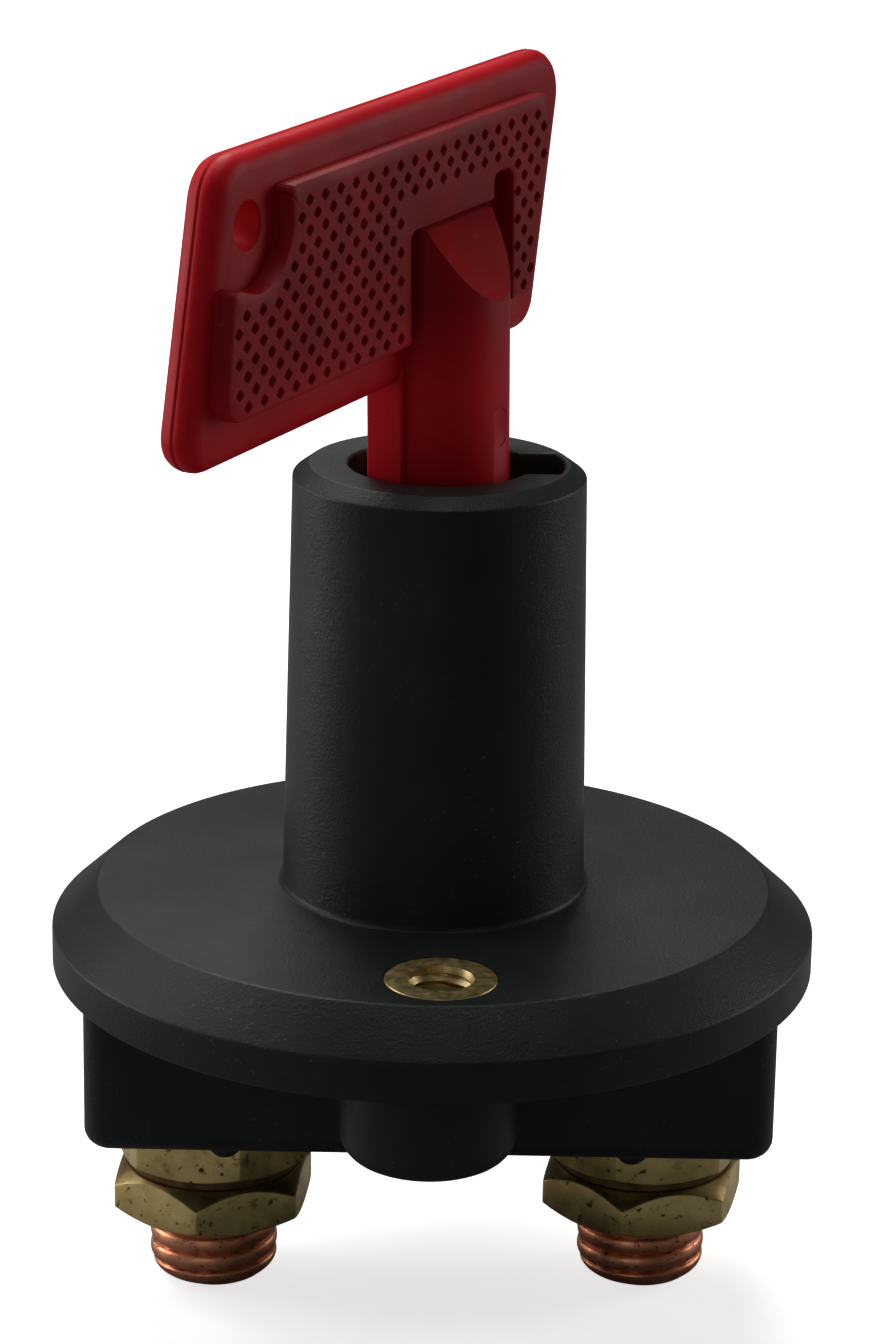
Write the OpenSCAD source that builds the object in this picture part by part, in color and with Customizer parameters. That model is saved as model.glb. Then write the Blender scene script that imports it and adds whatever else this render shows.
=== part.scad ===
// Battery isolator switch with a removable key.
// Millimetres. Z is the turning axis of the key and points up, towards the key.
// The origin is where that axis meets the top face of the flange.
// X runs through the two terminal studs and Y through the two fixing inserts.

/* [Flange and neck] */
// Outside diameter of the round mounting flange
flange_d = 70; // [66:0.5:76]
// Height of the sloping band round the top of the flange
flange_chamfer_h = 3.7; // [2:0.1:5]
// Width of that sloping band, measured across
flange_chamfer_w = 4.1; // [2:0.1:5]
// Height of the upright rim below the sloping band
flange_rim_h = 3.75; // [3:0.05:6]
// Height of the neck above the flange
neck_h = 39.5; // [36:0.5:44]
// Diameter of the neck where it leaves the flange
neck_base_d = 27.7; // [27:0.1:30]
// Diameter of the neck just below its top chamfer
neck_top_d = 26.3; // [26:0.1:28]
// Diameter of the round key hole in the neck's top face
key_hole_d = 16.3; // [16.1:0.1:17]

/* [Body block] */
// Length of the block under the flange, along the studs
block_l = 62; // [62:0.2:66]
// Width of the block
block_w = 34.6; // [34:0.2:36]
// Depth of the block's underside below the flange's top face
block_depth = 20.5; // [20:0.1:21]
// Turn of the block against the line of the studs, anticlockwise from above
block_turn = -2.1; // [-3:0.1:3]
// Distance between the two fixing inserts
insert_spacing = 49.4; // [48:0.1:50]

/* [Terminals] */
// Distance between the two terminal studs
stud_spacing = 40.4; // [38:0.2:40.6]
// Thread diameter of the studs
stud_d = 12; // [10:1:12]
// Depth of the stud ends below the flange's top face
stud_reach = 39.4; // [38:0.1:44]
// Distance across the flats of the stud nuts
nut_flats = 17.2; // [17:0.1:19]
// Height of the nuts next to the base plate
upper_nut_h = 6.3; // [5:0.1:6.6]
// Height of the nuts below them, which clamp the cable lugs
lower_nut_h = 5.6; // [5:0.1:5.8]

/* [Key] */
// Direction of the key plate's short arm, anticlockwise from +X
key_turn = 59.8; // [0:0.1:90]
// Lean of the loose key in its hole, short arm up
key_lean = 1.9; // [0:0.1:2]
// Height of the key plate
plate_h = 25.3; // [22:0.1:30]
// Thickness of the key plate
plate_t = 3.6; // [3:0.05:4]
// Reach of the plate's long arm at half height, from the turning axis
long_arm = 39.3; // [34:0.1:44]
// Reach of the plate's short arm at half height, from the turning axis
short_arm = 21.4; // [17:0.1:24]
// Height that the grip panel stands above the plate
panel_rise = 1.75; // [0.8:0.05:2]
// Diameter of the lanyard hole
lanyard_d = 4; // [3:0.1:5]

/* [Mechanism] */
// Drop of the contact bridge from off to on
contact_travel = 3; // [2:0.25:3]
// Turn of the key from off to on, in degrees
switch_angle = 90; // [60:5:90]

/* [Hidden] */
$fn = 96;
eps = 0.01;

flange_r = flange_d / 2;
flange_bottom = -(flange_chamfer_h + flange_rim_h);
lip_t = 4;                         // thickness of the lip round the key hole
lip_under = neck_h - lip_t;
neck_chamfer_h = 1.05;
neck_chamfer_w = 1.45;
bore_r = 11.6;                     // inside of the neck
key_slot_w = 7.2;                  // bayonet slot through the lip
key_slot_r = 11.6;

// levels of the stack inside the block, from the open underside upwards
ceiling_z = -4;
base_bottom = -block_depth;
base_top = base_bottom + 3.7;
gasket_t = 0.8;
ledge_z = base_top + gasket_t;
block_corner_r = 2.6;
block_edge_r = 1.8;
skirt_t = 2.2;                     // wall round the base plate
cavity_l = block_l - 7.2;
cavity_w = block_w - 10.8;
insert_boss_r = 7.8;
insert_r = 5.05;
insert_thread_r = 2.5;             // M6 tapping size
insert_l = 15;
boss_bottom = -16.4;
boss_round = 2.2;
press_gap = 0.02;                  // drawn gap round parts pressed or moulded in

stud_x = stud_spacing / 2;
stud_r = stud_d / 2;
stud_head_r = 6.9;
stud_head_h = 3.7;
seal_t = 0.6;
stud_head_bottom = base_top + seal_t;
stud_head_top = stud_head_bottom + stud_head_h;
stud_hole_r = stud_r + 0.3;
stud_chamfer = 1.6;
contact_t = 0.6;
rivet_r = 1.45;
upper_nut_turn = [45.5, 10.7];     // how far each upper nut is turned about its stud
lower_nut_turn = [21.5, 14.7];
upper_nut_top = base_bottom - 0.1;
nut_washer_r = 8.1;
nut_washer_t = 0.75;
nut_washer_top = upper_nut_top - upper_nut_h - 0.05;
lower_nut_top = nut_washer_top - nut_washer_t - 0.05;
lower_nut_bottom = lower_nut_top - lower_nut_h;
upper_nut_form = [8.5, 0.6, 8.3, 0.6];    // lower face radius and slope, upper ones
lower_nut_form = [6.4, 0.55, 8.3, 0.95];
stud_pitch_r = stud_r - 0.55;      // where the threads of studs and nuts meet
stud_free_top = lower_nut_bottom - 0.2;   // full diameter shows below this

screw_x = 18.4;
screw_y = cavity_w / 2 + 1.5;
screw_r = 1.2;
screw_head_r = 1.7;
screw_head_h = 1.4;
screw_l = 10;

rotor_r = 11.52;                   // runs in the neck bore with 0.08 mm all round
rotor_top = 30.5;
rotor_bottom = 8;
socket_floor = 12.5;
seal_groove_r = 9.85;
seal_z = 22.5;
seal_wire_r = 0.85;
cam_in_r = 6.6;
cam_out_r = 9.5;
cam_start = 1;                     // depth of the cam's shallow end
cam_steps = 15;                    // straight pieces that make up the cam's slope
cam_wall = 2.9;                    // depth of the wall that stops the turn
follower_angle = 6;                // half the angle one follower takes up
ring_z = 6.7;
ring_t = 1.1;
ring_in_r = 9.9;
ring_groove_r = 12.4;

plunger_r = 11.25;
plunger_top = 3.6;
plunger_bottom = -4.6;
follower_top = 6.9;
spring_roof = 2;
rib_r = 12.3;
rib_w = 3;
rib_groove_r = 12.65;
post_r = 2.4;
post_bottom = -9.6;
bridge_l = 50;
bridge_w = 14;
bridge_t = 2.5;
bridge_top = -5.4;
bridge_bottom = bridge_top - bridge_t;
bridge_contact_t = 0.8;
clip_t = 0.6;
clip_z = bridge_bottom - 0.05 - clip_t;

// the key, in its own frame: X along the short arm, Y to the back, Z up its shank,
// with the zero on the shank's axis at the top of the neck
shank_r = 6.2;
bar_half = 7.1;                    // half the width of the flat bar behind the shank
plate_front = -0.1;
plate_back = plate_front + plate_t;
plate_bottom = 8.6;
plate_top = plate_bottom + plate_h;
end_slant = 0.255;                 // both ends lean the same way, in mm per mm of height
top_corner_r = 4.2;
low_corner_r = 3.2;
edge_bevel = 0.5;
grip_margin = 4.9;                 // plate left bare beyond the grip at the short arm's end
shank_tip = -25;
lug_top = -5;
lug_h = 3.5;
lug_r = 11;
lug_w = 6.4;
lug_turn = -key_turn;
lanyard_x = -32.4;
lanyard_z = 27.9;

// ---------- shared shapes ----------

function plate_mid() = (plate_bottom + plate_top) / 2;

// where an end of the plate lies at a given height
function end_x(side, z) =
    (side < 0 ? -long_arm : short_arm) + end_slant * (z - plate_mid());

// centre of the rounding at one corner of the plate
function corner_centre(side, level) =
    let (r = level > 0 ? top_corner_r : low_corner_r,
         z = level > 0 ? plate_top - r : plate_bottom + r)
    [end_x(side, z) - side * r * norm([1, end_slant]), z];

function arc(centre, r, from, to, steps = 8) =
    [for (i = [0 : steps])
        let (a = from + (to - from) * i / steps)
        centre + r * [cos(a), sin(a)]];

// the plate's outline, pulled in by an inset on every side
module plate_outline(inset) {
    lean = atan(end_slant);
    top_r = top_corner_r - inset;
    low_r = low_corner_r - inset;
    polygon(concat(
        arc(corner_centre(1, 1), top_r, -lean, 90),
        arc(corner_centre(-1, 1), top_r, 90, 180 - lean),
        arc(corner_centre(-1, -1), low_r, 180 - lean, 270),
        arc(corner_centre(1, -1), low_r, 270, 360 - lean)));
}

module rounded_rect(l, w, r) {
    x = l / 2 - r;
    y = w / 2 - r;
    polygon(concat(
        arc([x, y], r, 0, 90),
        arc([-x, y], r, 90, 180),
        arc([-x, -y], r, 180, 270),
        arc([x, -y], r, 270, 360)));
}

module at_studs() {
    for (side = [-1, 1])
        translate([side * stud_x, 0, 0])
            children();
}

module at_inserts() {
    for (side = [-1, 1])
        translate([0, side * insert_spacing / 2, 0])
            children();
}

// the block, its cavity and its cover are turned together
module turned_with_block() {
    rotate([0, 0, block_turn])
        children();
}

module at_screws() {
    for (sx = [-1, 1], sy = [-1, 1])
        turned_with_block()
            translate([sx * screw_x, sy * screw_y, 0])
                children();
}

// flat washer or disc between two levels
module washer(inner_r, outer_r, bottom, top) {
    translate([0, 0, bottom])
        difference() {
            cylinder(r = outer_r, h = top - bottom);
            translate([0, 0, -eps])
                cylinder(r = inner_r, h = top - bottom + 2 * eps);
        }
}

// round wire wound into a coil spring, as rings of points joined into a tube
module coil(mean_r, wire_r, bottom, top, turns) {
    sides = 8;
    rings = 20 * turns;
    rise = top - bottom - 2 * wire_r;
    points = [for (i = [0 : rings], k = [0 : sides - 1])
        let (a = 360 * turns * i / rings,
             b = 360 * k / sides,
             r = mean_r + wire_r * cos(b))
        [r * cos(a), r * sin(a), bottom + wire_r + rise * i / rings + wire_r * sin(b)]];
    walls = [for (i = [0 : rings - 1], k = [0 : sides - 1])
        let (n = (k + 1) % sides)
        [i * sides + k, (i + 1) * sides + k, (i + 1) * sides + n, i * sides + n]];
    start = [for (k = [0 : sides - 1]) k];
    end = [for (k = [sides - 1 : -1 : 0]) rings * sides + k];
    polyhedron(points = points, faces = concat(walls, [start], [end]), convexity = 10);
}

// places the key's own frame in the switch
module in_key_frame() {
    translate([0, 0, neck_h])
        rotate([0, 0, key_turn])
            rotate([0, -key_lean, 0])
                children();
}

// ---------- fixed parts ----------

module flange_and_neck() {
    rotate_extrude()
        polygon([
            [0, flange_bottom],
            [flange_r, flange_bottom],
            [flange_r, -flange_chamfer_h],
            [flange_r - flange_chamfer_w, 0],
            [neck_base_d / 2, 0],
            [neck_top_d / 2, neck_h - neck_chamfer_h],
            [neck_top_d / 2 - neck_chamfer_w, neck_h],
            [0, neck_h]
        ]);
}

// block with rounded upright corners and a rounded lower edge
module block() {
    hull()
        for (sx = [-1, 1], sy = [-1, 1])
            translate([sx * (block_l / 2 - block_corner_r), sy * (block_w / 2 - block_corner_r), 0])
                rotate_extrude($fn = 32)
                    block_corner_profile();
}

module block_corner_profile() {
    centre = [block_corner_r - block_edge_r, base_bottom + block_edge_r];
    top = flange_bottom + eps;
    polygon(concat(
        [[0, base_bottom]],
        arc(centre, block_edge_r, -90, 0, 5),
        [[block_corner_r, top], [0, top]]));
}

module insert_boss() {
    centre = [insert_boss_r - boss_round, boss_bottom + boss_round];
    top = flange_bottom + eps;
    rotate_extrude()
        polygon(concat(
            [[0, boss_bottom]],
            arc(centre, boss_round, -90, 0, 6),
            [[insert_boss_r, top], [0, top]]));
}

module housing_cavity() {
    pocket_l = block_l - 2 * skirt_t;
    pocket_w = block_w - 2 * skirt_t;
    translate([0, 0, base_bottom - 1])
        linear_extrude(ledge_z - base_bottom + 1)
            rounded_rect(pocket_l, pocket_w, 3);
    translate([0, 0, ledge_z - eps])
        linear_extrude(ceiling_z - ledge_z + eps)
            rounded_rect(cavity_l, cavity_w, 3);
}

// bore of the neck with its ring groove and the guide grooves for the plunger's ribs
module neck_bore() {
    groove_w = rib_w + 0.6;
    groove_bottom = plunger_bottom - contact_travel - 0.6;
    groove_top = plunger_top + 0.6;
    translate([0, 0, ceiling_z - eps])
        cylinder(r = bore_r, h = lip_under - ceiling_z + eps);
    translate([0, 0, ring_z - 0.1])
        cylinder(r = ring_groove_r, h = ring_t + 0.2);
    intersection() {
        translate([-groove_w / 2, -rib_groove_r, groove_bottom])
            cube([groove_w, 2 * rib_groove_r, groove_top - groove_bottom]);
        translate([0, 0, groove_bottom - 1])
            cylinder(r = rib_groove_r, h = 20);
    }
}

// round hole in the lip and the bayonet slot that lets the key's lug through
module key_opening() {
    translate([0, 0, lip_under - eps])
        cylinder(d = key_hole_d, h = lip_t + 1);
    intersection() {
        translate([0, -key_slot_w / 2, lip_under - eps])
            cube([key_slot_r + 1, key_slot_w, lip_t + 1]);
        translate([0, 0, lip_under - 1])
            cylinder(r = key_slot_r, h = lip_t + 3);
    }
}

module housing() {
    color("#2b2d2e")
        difference() {
            union() {
                flange_and_neck();
                turned_with_block() block();
                turned_with_block() at_inserts() insert_boss();
            }
            turned_with_block() housing_cavity();
            neck_bore();
            key_opening();
            at_inserts() {
                translate([0, 0, -insert_l])
                    cylinder(r = insert_r + press_gap, h = insert_l + 1);
                translate([0, 0, boss_bottom - 1])
                    cylinder(r = insert_thread_r + 0.5, h = insert_l);
            }
            at_screws()
                translate([0, 0, base_bottom])
                    cylinder(r = screw_r + 0.05, h = screw_l + 0.5);
        }
}

// brass sleeves, tapped for the two fixing screws
module threaded_inserts() {
    color("#b59a54")
        at_inserts()
            washer(insert_thread_r, insert_r, -insert_l, 0);
}

module base_plate() {
    gap = 0.3;
    color("#242627")
        difference() {
            turned_with_block()
                translate([0, 0, base_bottom])
                    linear_extrude(base_top - base_bottom)
                        rounded_rect(block_l - 2 * skirt_t - gap, block_w - 2 * skirt_t - gap, 3);
            at_studs()
                translate([0, 0, base_bottom - 1])
                    cylinder(r = stud_hole_r, h = 6);
            at_screws()
                translate([0, 0, base_bottom - 1])
                    cylinder(r = screw_r + 0.2, h = 6);
        }
}

module base_gasket() {
    gap = 0.3;
    color("#3a3a3a")
        translate([0, 0, base_top])
            difference() {
                turned_with_block()
                    linear_extrude(gasket_t)
                        rounded_rect(block_l - 2 * skirt_t - gap, block_w - 2 * skirt_t - gap, 3);
                turned_with_block()
                    translate([0, 0, -1])
                        linear_extrude(gasket_t + 2)
                            rounded_rect(cavity_l, cavity_w, 3);
                at_screws()
                    translate([0, 0, -1])
                        cylinder(r = screw_r + 0.2, h = 4);
            }
}

// four screws with cross recesses hold the base plate up against the gasket
module base_screws() {
    recess_w = 0.45;
    recess_l = 1.4;
    rim_h = 0.8;
    color("#26282a")
        at_screws()
            difference() {
                union() {
                    translate([0, 0, base_bottom - screw_head_h])
                        cylinder(r1 = screw_head_r - rim_h, r2 = screw_head_r, h = rim_h);
                    translate([0, 0, base_bottom - screw_head_h + rim_h])
                        cylinder(r = screw_head_r, h = screw_head_h - rim_h);
                    translate([0, 0, base_bottom - eps])
                        cylinder(r = screw_r, h = screw_l);
                }
                for (a = [0, 90])
                    rotate([0, 0, a])
                        translate([-recess_l / 2, -recess_w / 2, base_bottom - screw_head_h - 1])
                            cube([recess_l, recess_w, 1.6]);
            }
}

// one terminal stud: head inside the block, threaded end below it
module terminal_stud() {
    difference() {
        union() {
            translate([0, 0, stud_head_bottom])
                cylinder(r = stud_head_r, h = stud_head_h);
            translate([0, 0, stud_free_top])
                cylinder(r = stud_pitch_r, h = stud_head_bottom - stud_free_top + eps);
            translate([0, 0, -stud_reach + stud_chamfer])
                cylinder(r = stud_r, h = stud_free_top + stud_reach - stud_chamfer);
            translate([0, 0, -stud_reach])
                cylinder(r1 = stud_r - stud_chamfer, r2 = stud_r, h = stud_chamfer);
        }
        translate([0, 0, stud_head_top - 2])
            cylinder(r = rivet_r + press_gap, h = 3);
    }
}

module stud_left() {
    color("#b0703f")
        translate([-stud_x, 0, 0])
            terminal_stud();
}

module stud_right() {
    color("#b0703f")
        translate([stud_x, 0, 0])
            terminal_stud();
}

// silver buttons riveted into the stud heads
module stud_contacts() {
    color("#c9c9c4")
        at_studs() {
            translate([0, 0, stud_head_top])
                cylinder(r = 4, h = contact_t);
            translate([0, 0, stud_head_top - 1.8])
                cylinder(r = rivet_r, h = 1.8 + eps);
        }
}

module stud_seals() {
    color("#3a3a3a")
        at_studs()
            washer(stud_hole_r, stud_head_r, base_top, stud_head_bottom);
}

// hexagon nut with its corners turned down to a cone at both faces
module hex_nut(top, height, turn, form) {
    corner_r = nut_flats / 2 / cos(30);
    bore_r = stud_pitch_r + 0.05;
    outer_r = corner_r + 0.1;
    cone_low = (outer_r - form[0]) * form[1];
    cone_high = (outer_r - form[2]) * form[3];
    translate([0, 0, top - height])
        intersection() {
            rotate([0, 0, turn])
                translate([0, 0, -1])
                    cylinder(r = corner_r, h = height + 2, $fn = 6);
            rotate_extrude()
                polygon([
                    [bore_r, 0],
                    [form[0], 0],
                    [outer_r, cone_low],
                    [outer_r, height - cone_high],
                    [form[2], height],
                    [bore_r, height]
                ]);
        }
}

// these two clamp the studs to the base plate
module stud_nuts() {
    color("#a08a4a")
        for (i = [0, 1])
            translate([(2 * i - 1) * stud_x, 0, 0])
                hex_nut(upper_nut_top, upper_nut_h, upper_nut_turn[i], upper_nut_form);
}

// these two clamp the cable lugs against the upper nuts
module terminal_nuts() {
    color("#a08a4a")
        for (i = [0, 1])
            translate([(2 * i - 1) * stud_x, 0, 0])
                hex_nut(lower_nut_top, lower_nut_h, lower_nut_turn[i], lower_nut_form);
}

// thin washers between the nuts of each stud
module nut_washers() {
    color("#5a4424")
        at_studs()
            washer(stud_hole_r, nut_washer_r, nut_washer_top - nut_washer_t, nut_washer_top);
}

// open spring ring that holds the rotor up in the neck
module retaining_ring() {
    color("#7c7f82")
        difference() {
            washer(ring_in_r, ring_groove_r - 0.1, ring_z, ring_z + ring_t);
            translate([0, -2, ring_z - 1])
                cube([ring_groove_r + 1, 4, ring_t + 2]);
        }
}

module spring_seat() {
    color("#8d9093")
        washer(3.4, 7, base_top, base_top + 0.6);
}

// pushes the bridge up, away from the studs
module return_spring() {
    color("#9a9da0")
        coil(6.1, 0.4, base_top + 0.65, bridge_bottom - 0.05, 3);
}

// ---------- turning parts ----------

// one cam under the rotor, as [angle, depth] stations: a wall that stops the turn,
// a level stretch, the slope that drives the follower down, and a level end
function cam_stations() = concat(
    [[-16, cam_wall], [-8, cam_wall], [-7.9, cam_start]],
    [for (i = [0 : cam_steps])
        [follower_angle + switch_angle * i / cam_steps,
         cam_start + contact_travel * i / cam_steps]],
    [[follower_angle + switch_angle + 8, cam_start + contact_travel]]);

module cam_ramp() {
    stations = cam_stations();
    last = len(stations) - 1;
    points = [for (s = stations, p = [[cam_in_r, 0.5], [cam_out_r, 0.5],
                                      [cam_out_r, -s[1]], [cam_in_r, -s[1]]])
        [p[0] * cos(s[0]), p[0] * sin(s[0]), rotor_bottom + p[1]]];
    walls = [for (i = [0 : last - 1], k = [0 : 3])
        let (n = (k + 1) % 4)
        [4 * i + n, 4 * (i + 1) + n, 4 * (i + 1) + k, 4 * i + k]];
    start = [0, 1, 2, 3];
    end = [4 * last + 3, 4 * last + 2, 4 * last + 1, 4 * last];
    polyhedron(points = points, faces = concat(walls, [start], [end]), convexity = 6);
}

// D-shaped socket, loose enough for the key to lean
module key_socket() {
    slack = 0.9;
    rotate([0, 0, key_turn]) {
        translate([-bar_half - slack, plate_front - 0.3, socket_floor])
            cube([2 * (bar_half + slack), plate_t + 0.6, 20]);
        intersection() {
            translate([0, 0, socket_floor])
                cylinder(r = shank_r + slack, h = 20);
            translate([-20, -40 + plate_front, socket_floor - 1])
                cube([40, 40.1, 30]);
        }
    }
}

module rotor() {
    color("#d8d4c4")
        difference() {
            union() {
                translate([0, 0, rotor_bottom])
                    cylinder(r = rotor_r, h = rotor_top - rotor_bottom);
                for (a = [0, 180])
                    rotate([0, 0, a])
                        cam_ramp();
            }
            key_socket();
            washer(seal_groove_r, rotor_r + 1, seal_z - 0.95, seal_z + 0.95);
        }
}

// rubber ring that keeps water out of the contacts
module rotor_seal() {
    color("#303030")
        rotate_extrude()
            translate([seal_groove_r + 0.02 + seal_wire_r, seal_z])
                circle(r = seal_wire_r, $fn = 24);
}

// ---------- moving contact ----------

// slides in the neck without turning; its two followers ride on the cams
module plunger() {
    color("#c9c4b2")
        union() {
            difference() {
                union() {
                    translate([0, 0, plunger_bottom])
                        cylinder(r = plunger_r, h = plunger_top - plunger_bottom);
                    plunger_ribs();
                    for (side = [-1, 1]) {
                        follower(side);
                        bridge_guide(side);
                    }
                }
                translate([0, 0, plunger_bottom - eps])
                    cylinder(r = 6.2, h = spring_roof - plunger_bottom);
            }
            difference() {
                translate([0, 0, post_bottom])
                    cylinder(r = post_r, h = spring_roof + 0.5 - post_bottom);
                washer(post_r - 0.5, post_r + 1, clip_z - 0.1, clip_z + clip_t + 0.1);
            }
        }
}

// ribs that run in the neck's grooves and keep the plunger from turning
module plunger_ribs() {
    intersection() {
        translate([-rib_w / 2, -rib_r, plunger_bottom])
            cube([rib_w, 2 * rib_r, plunger_top - plunger_bottom]);
        translate([0, 0, plunger_bottom - 1])
            cylinder(r = rib_r, h = 20);
    }
}

module follower(side) {
    follower_l = 2.2;
    follower_w = 1.5;
    translate([side * 8.3 - follower_l / 2, -follower_w / 2, plunger_top - eps])
        cube([follower_l, follower_w, follower_top - plunger_top]);
}

// cheek that keeps the bridge in line with the studs
module bridge_guide(side) {
    translate([-4, side * 8.4 - 1, bridge_bottom])
        cube([8, 2, plunger_bottom - bridge_bottom + eps]);
}

module contact_bridge() {
    color("#b87333")
        difference() {
            translate([0, 0, bridge_bottom])
                linear_extrude(bridge_t)
                    rounded_rect(bridge_l, bridge_w, 3);
            translate([0, 0, bridge_bottom - 1])
                cylinder(r = post_r + 0.3, h = 6);
            at_studs()
                translate([0, 0, bridge_bottom - 1])
                    cylinder(r = rivet_r + press_gap, h = 6);
        }
}

// silver rivets under the two ends of the bridge
module bridge_contacts() {
    color("#c9c9c4")
        at_studs() {
            translate([0, 0, bridge_bottom - bridge_contact_t])
                cylinder(r = 3.5, h = bridge_contact_t);
            translate([0, 0, bridge_bottom - eps])
                cylinder(r = rivet_r, h = bridge_t + 2 * eps);
            translate([0, 0, bridge_top])
                cylinder(r = 2.3, h = 0.7);
        }
}

module bridge_clip() {
    color("#7c7f82")
        difference() {
            washer(post_r - 0.45, 4.8, clip_z, clip_z + clip_t);
            translate([0, -1.4, clip_z - 1])
                cube([6, 2.8, clip_t + 2]);
        }
}

// presses the bridge on its clip and gives the contacts their force
module contact_spring() {
    color("#9a9da0")
        coil(4.8, 0.45, bridge_top + 0.05, spring_roof - 0.05, 4);
}

// ---------- key ----------

// plate whose edges slope back from the parting line at mid thickness
module key_plate() {
    half = plate_t / 2;
    skin = 0.05;
    for (front = [0, 1])
        hull() {
            translate([0, plate_front + half + skin, 0])
                upright(2 * skin) plate_outline(0);
            translate([0, front == 1 ? plate_front + skin : plate_back, 0])
                upright(skin) plate_outline(edge_bevel);
        }
}

// stands a flat outline up in the key's X-Z plane, its thickness towards -Y
module upright(thickness) {
    rotate([90, 0, 0])
        linear_extrude(thickness)
            children();
}

// raised grip with a bite round the lanyard hole and a window round the shank
module grip_outline() {
    grip_bottom = 12.8;
    grip_top = 30.6;
    bite_r = 5.2;
    bite = [lanyard_x - 0.9, lanyard_z + 0.2];
    window_left = -8.3;
    window_right = 10.4;
    window_top = 22.6;
    channel_top = 24.8;
    grip_left = end_x(-1, plate_mid()) + 1;
    grip_right_low = end_x(1, grip_bottom) - grip_margin;
    grip_right_high = end_x(1, grip_top) - grip_margin;
    difference() {
        intersection() {
            plate_outline(0.7);
            polygon([[grip_left, grip_bottom], [grip_right_low, grip_bottom],
                     [grip_right_high, grip_top], [grip_left, grip_top]]);
        }
        translate(bite)
            circle(r = bite_r);
        translate(bite - [10, 4])
            square([10, 10]);
        polygon([[window_left, 0], [window_left, window_top - 1], [window_left + 1, window_top],
                 [shank_r, window_top], [shank_r, channel_top],
                 [window_right, channel_top], [window_right, 0]]);
    }
}

// front of the shank, ending in a slope where it meets the grip
module shank_front() {
    cut_top = 22.5;
    cut_low = 15.5;
    grip_face = plate_front - panel_rise;
    difference() {
        translate([0, 0, shank_tip])
            cylinder(r = shank_r, h = cut_top - shank_tip);
        translate([-20, plate_front + 0.5, shank_tip - 1])
            cube([40, 20, 80]);
        rotate([90, 0, 90])
            translate([0, 0, -20])
                linear_extrude(40)
                    polygon([[grip_face, cut_top],
                             [-shank_r, cut_low],
                             [-shank_r - 1, cut_low],
                             [-shank_r - 1, cut_top + 1],
                             [grip_face, cut_top + 1]]);
    }
}

module key_lug() {
    rotate([0, 0, lug_turn])
        intersection() {
            translate([3, -lug_w / 2, lug_top - lug_h])
                cube([lug_r, lug_w, lug_h]);
            translate([0, 0, lug_top - lug_h - 1])
                cylinder(r = lug_r, h = lug_h + 2);
        }
}

module key() {
    color("#a11c22")
        in_key_frame()
            difference() {
                union() {
                    key_plate();
                    translate([0, plate_front + 0.2, 0])
                        upright(panel_rise + 0.2) grip_outline();
                    translate([-bar_half, plate_front, shank_tip])
                        cube([2 * bar_half, plate_t, plate_bottom + 2 - shank_tip]);
                    shank_front();
                    key_lug();
                }
                translate([lanyard_x, plate_back + 1, lanyard_z])
                    rotate([90, 0, 0])
                        cylinder(d = lanyard_d, h = plate_t + 2);
            }
}

// ---------- nodes ----------

housing();
threaded_inserts();
base_plate();
base_gasket();
base_screws();
stud_left();
stud_right();
stud_contacts();
stud_seals();
stud_nuts();
nut_washers();
terminal_nuts();
retaining_ring();
spring_seat();
return_spring();
rotor();
rotor_seal();
plunger();
contact_bridge();
bridge_contacts();
bridge_clip();
contact_spring();
key();
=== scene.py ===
"""Battery isolator switch with a removable red key, in metres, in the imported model's frame.

Z is the turning axis of the key, X runs through the two studs, and -Y is the front."""

import math

import bmesh
import bpy
from mathutils import Matrix, Quaternion, Vector
from mathutils.geometry import delaunay_2d_cdt


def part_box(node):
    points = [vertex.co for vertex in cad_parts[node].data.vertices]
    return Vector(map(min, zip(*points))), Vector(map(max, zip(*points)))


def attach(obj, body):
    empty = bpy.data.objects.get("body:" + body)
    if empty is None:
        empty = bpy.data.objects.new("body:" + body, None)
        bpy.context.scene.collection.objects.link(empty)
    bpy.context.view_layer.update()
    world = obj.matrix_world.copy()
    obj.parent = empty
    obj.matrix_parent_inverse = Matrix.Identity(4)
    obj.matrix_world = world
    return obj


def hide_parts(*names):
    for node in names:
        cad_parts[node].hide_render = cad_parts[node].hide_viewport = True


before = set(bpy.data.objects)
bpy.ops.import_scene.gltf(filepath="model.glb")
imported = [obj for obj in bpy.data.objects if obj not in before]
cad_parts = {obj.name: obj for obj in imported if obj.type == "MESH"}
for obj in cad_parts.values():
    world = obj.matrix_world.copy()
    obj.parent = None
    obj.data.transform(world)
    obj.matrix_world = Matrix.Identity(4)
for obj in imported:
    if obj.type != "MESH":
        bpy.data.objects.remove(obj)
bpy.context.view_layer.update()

MM = 0.001
TURN = 2 * math.pi


# ---------- sizes, in millimetres ----------

def cad_corner(node, end, axis):
    """One coordinate of a CAD node's box; end 0 is the low side and 1 the high side."""
    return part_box(node)[end][axis] / MM


def cad_middle(node, axis):
    return (cad_corner(node, 0, axis) + cad_corner(node, 1, axis)) / 2


FLANGE_R = cad_corner("housing", 1, 0)
FLANGE_FLAT_R = FLANGE_R - 4.1
FLANGE_CHAMFER_Z = -3.7
FLANGE_BOTTOM = -7.45
NECK_TOP = cad_corner("retaining_ring", 0, 2) + 32.8
NECK_BASE_R = 13.85
NECK_TOP_R = 13.16
NECK_FLAT_R = 11.7
NECK_CHAMFER = 1.05
BORE_R = 11.6
LIP_UNDER = NECK_TOP - 4
KEY_HOLE_R = 8.15
SLOT_HALF = 3.6
SLOT_R = 11.1
LIP_ROUND = 0.3

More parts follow.
